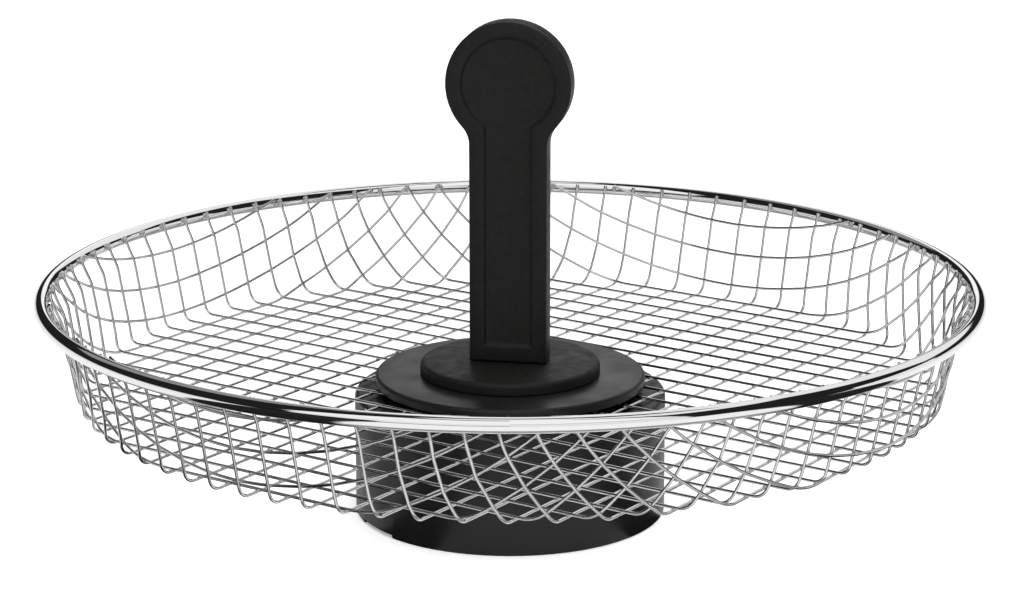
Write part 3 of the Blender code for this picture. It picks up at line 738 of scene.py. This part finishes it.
# ------------------------------------------------------------------ floor, light and camera
# A plain white table top in a studio.  Large lit cards stand round it, with dark gaps between them that
# draw the black lines in the chrome.  Dark bands and a painted shadow ring round the basket are painted
# into the table's colour for glossy rays alone: a painted reflection, which the camera doesn't see.

view_turn = math.radians(10.0)      # the camera stands this far round to the right of the front


def arithmetic(tree, operation, first, second=0.0):
    """One step of arithmetic in a shader."""
    step = tree.nodes.new("ShaderNodeMath")
    step.operation = operation
    for socket, value in zip(step.inputs, (first, second)):
        if isinstance(value, (int, float)):
            socket.default_value = value
        else:
            tree.links.new(value, socket)
    return step.outputs[0]


def bearing_of(tree, vector):
    """A direction's bearing, 0 away from the camera and positive to the right, and its upward part."""
    parts = tree.nodes.new("ShaderNodeSeparateXYZ")
    tree.links.new(vector, parts.inputs["Vector"])
    across, ahead, up = parts.outputs
    sideways = arithmetic(tree, "ADD", arithmetic(tree, "MULTIPLY", across, math.cos(view_turn)),
                          arithmetic(tree, "MULTIPLY", ahead, math.sin(view_turn)))
    depth = arithmetic(tree, "SUBTRACT", arithmetic(tree, "MULTIPLY", ahead, math.cos(view_turn)),
                       arithmetic(tree, "MULTIPLY", across, math.sin(view_turn)))
    return arithmetic(tree, "ARCTAN2", sideways, depth), up


def between(tree, value, low, high, soft):
    """1 where the value lies from low to high, 0 elsewhere, with soft edges."""
    inside = 1.0
    for edge, side in ((low, 1), (high, -1)):
        ramp = tree.nodes.new("ShaderNodeMapRange")
        ramp.interpolation_type = "SMOOTHSTEP"
        ramp.inputs["From Min"].default_value = edge - soft * side
        ramp.inputs["From Max"].default_value = edge + soft * side
        tree.links.new(value, ramp.inputs["Value"])
        inside = arithmetic(tree, "MULTIPLY", ramp.outputs["Result"], inside)
    return inside


def card(tree, bearing, height, place, shine):
    """A lit card between two bearings and two heights in degrees; shine is its brightness."""
    left, right, low, high = (math.radians(angle) for angle in place)
    soft = math.radians(1.0)
    wide = between(tree, bearing, left, right, soft)
    tall = between(tree, height, low, high, soft)
    return arithmetic(tree, "MULTIPLY", arithmetic(tree, "MULTIPLY", wide, tall), shine)


table_paint, tree, shader = new_finish("white_table_painted_reflection", (0.90, 0.90, 0.90), 0.9)
shader.inputs["Specular IOR Level"].default_value = 0.1
place = tree.nodes.new("ShaderNodeTexCoord").outputs["Object"]
bearing, _ = bearing_of(tree, place)
span = tree.nodes.new("ShaderNodeVectorMath")
span.operation = "LENGTH"
tree.links.new(place, span.inputs[0])
distance = span.outputs["Value"]
painted_band_edge, painted_shadow_edge, painted_shadow_depth, painted_reflection_dimness, table_glow = 0.04, 0.012, 0.80, 0.35, 0.35
# Painted reflection: two dark bands by bearing, left and right of the basket, painted into the table's
# colour.
painted_reflection_dark = arithmetic(tree, "ADD",
                   between(tree, bearing, math.radians(-153), math.radians(-121), painted_band_edge),
                   between(tree, bearing, math.radians(103), math.radians(131), painted_band_edge))
# Painted shadow: a dark ring round the basket, 0.105 to 0.150 m out, painted into the table for
# reflections.
painted_shadow_ring = arithmetic(tree, "MULTIPLY", between(tree, distance, 0.105, 0.150, painted_shadow_edge), painted_shadow_depth)
# The painted reflection darkens the whole table at least this much, and the bands and the shadow ring more.
painted_reflection_dark = arithmetic(tree, "MAXIMUM", arithmetic(tree, "MAXIMUM", painted_reflection_dark, painted_shadow_ring), painted_reflection_dimness)
ray = tree.nodes.new("ShaderNodeLightPath")
# Painted reflection: the darkening acts on glossy rays only, so the camera still sees a plain white table.
glossy_painted_dark = arithmetic(tree, "MULTIPLY", painted_reflection_dark, ray.outputs["Is Glossy Ray"])
# The dark tone here is painted reflection colour, not the table's own colour.
tint(tree, shader, glossy_painted_dark, (0.90, 0.90, 0.90), (0.01, 0.01, 0.01))
# The table's even glow goes out where the painted reflection darkens it.
glow = arithmetic(tree, "MULTIPLY", arithmetic(tree, "SUBTRACT", 1.0, glossy_painted_dark), table_glow)
tree.links.new(glow, shader.inputs["Emission Strength"])
shader.inputs["Emission Color"].default_value = (1.0, 1.0, 1.0, 1.0)
bm = bmesh.new()
bmesh.ops.create_circle(bm, cap_ends=True, segments=96, radius=12.0)
table = new_piece("table", bm, table_paint)

world = bpy.data.worlds.new("studio")
bpy.context.scene.world = world
world.use_nodes = True
tree = world.node_tree
backdrop = tree.nodes["Background"]
backdrop.inputs["Color"].default_value = (1.0, 1.0, 1.0, 1.0)
direction = tree.nodes.new("ShaderNodeTexCoord")
bearing, up = bearing_of(tree, direction.outputs["Generated"])
height = arithmetic(tree, "ARCSINE", up)
lit = 0.015                       # how bright the gaps between the cards are
for place, shine in (
        ((139, 190, 26, 80), 1.00), ((139, 190, -12, 21), 0.90), ((139, 190, 20, 27), 0.50),   # front right
        ((-190, -124, 26, 72), 1.00), ((-190, -128, 12, 26), 0.90), ((-190, -150, 3, 27), 0.85),    # left
        ((8, 63, 19, 64), 0.90), ((-50, -8, 28, 60), 0.28), ((-8, 8, 9, 64), 1.00),     # behind
        ((63, 128, 56, 80), 0.90), ((-190, 190, 79, 95), 0.90),     # right and overhead
        ((-110, 64, -10, 2), 0.95), ((64, 95, -10, 9), 0.95)):      # along the horizon
    lit = arithmetic(tree, "MAXIMUM", card(tree, bearing, height, place, shine), lit)
tree.links.new(lit, backdrop.inputs["Strength"])

for name, place, size, power in (("overhead_box", (0.0, 0.1, 1.5), 1.4, 22.0),
                                 ("front_box", (0.5, -1.4, 1.0), 0.8, 6.0)):
    lamp = bpy.data.lights.new(name, "AREA")
    lamp.shape = "SQUARE"
    lamp.size = size
    lamp.energy = power
    light = bpy.data.objects.new(name, lamp)
    light.location = place
    light.visible_glossy = False      # the chrome reflects the cards alone
    light.rotation_euler = (Vector((0, 0, 0.05)) - Vector(place)).to_track_quat("-Z", "Y").to_euler()
    bpy.context.scene.collection.objects.link(light)

camera = bpy.data.cameras.new("camera")
camera.lens = 106.06
camera.sensor_width = 36.0
camera.shift_x, camera.shift_y = 0.0018, -0.0144
viewer = bpy.data.objects.new("camera", camera)
aim = Vector((0.0, 0.0, rim_height))
elevation, reach = math.radians(14.62), 0.80
away = Vector((math.sin(view_turn) * math.cos(elevation), -math.cos(view_turn) * math.cos(elevation),
               math.sin(elevation)))
viewer.location = aim + away * reach
viewer.rotation_euler = (-away).to_track_quat("-Z", "Y").to_euler()
bpy.context.scene.collection.objects.link(viewer)
bpy.context.scene.camera = viewer
bpy.context.scene.view_settings.view_transform = "Standard"
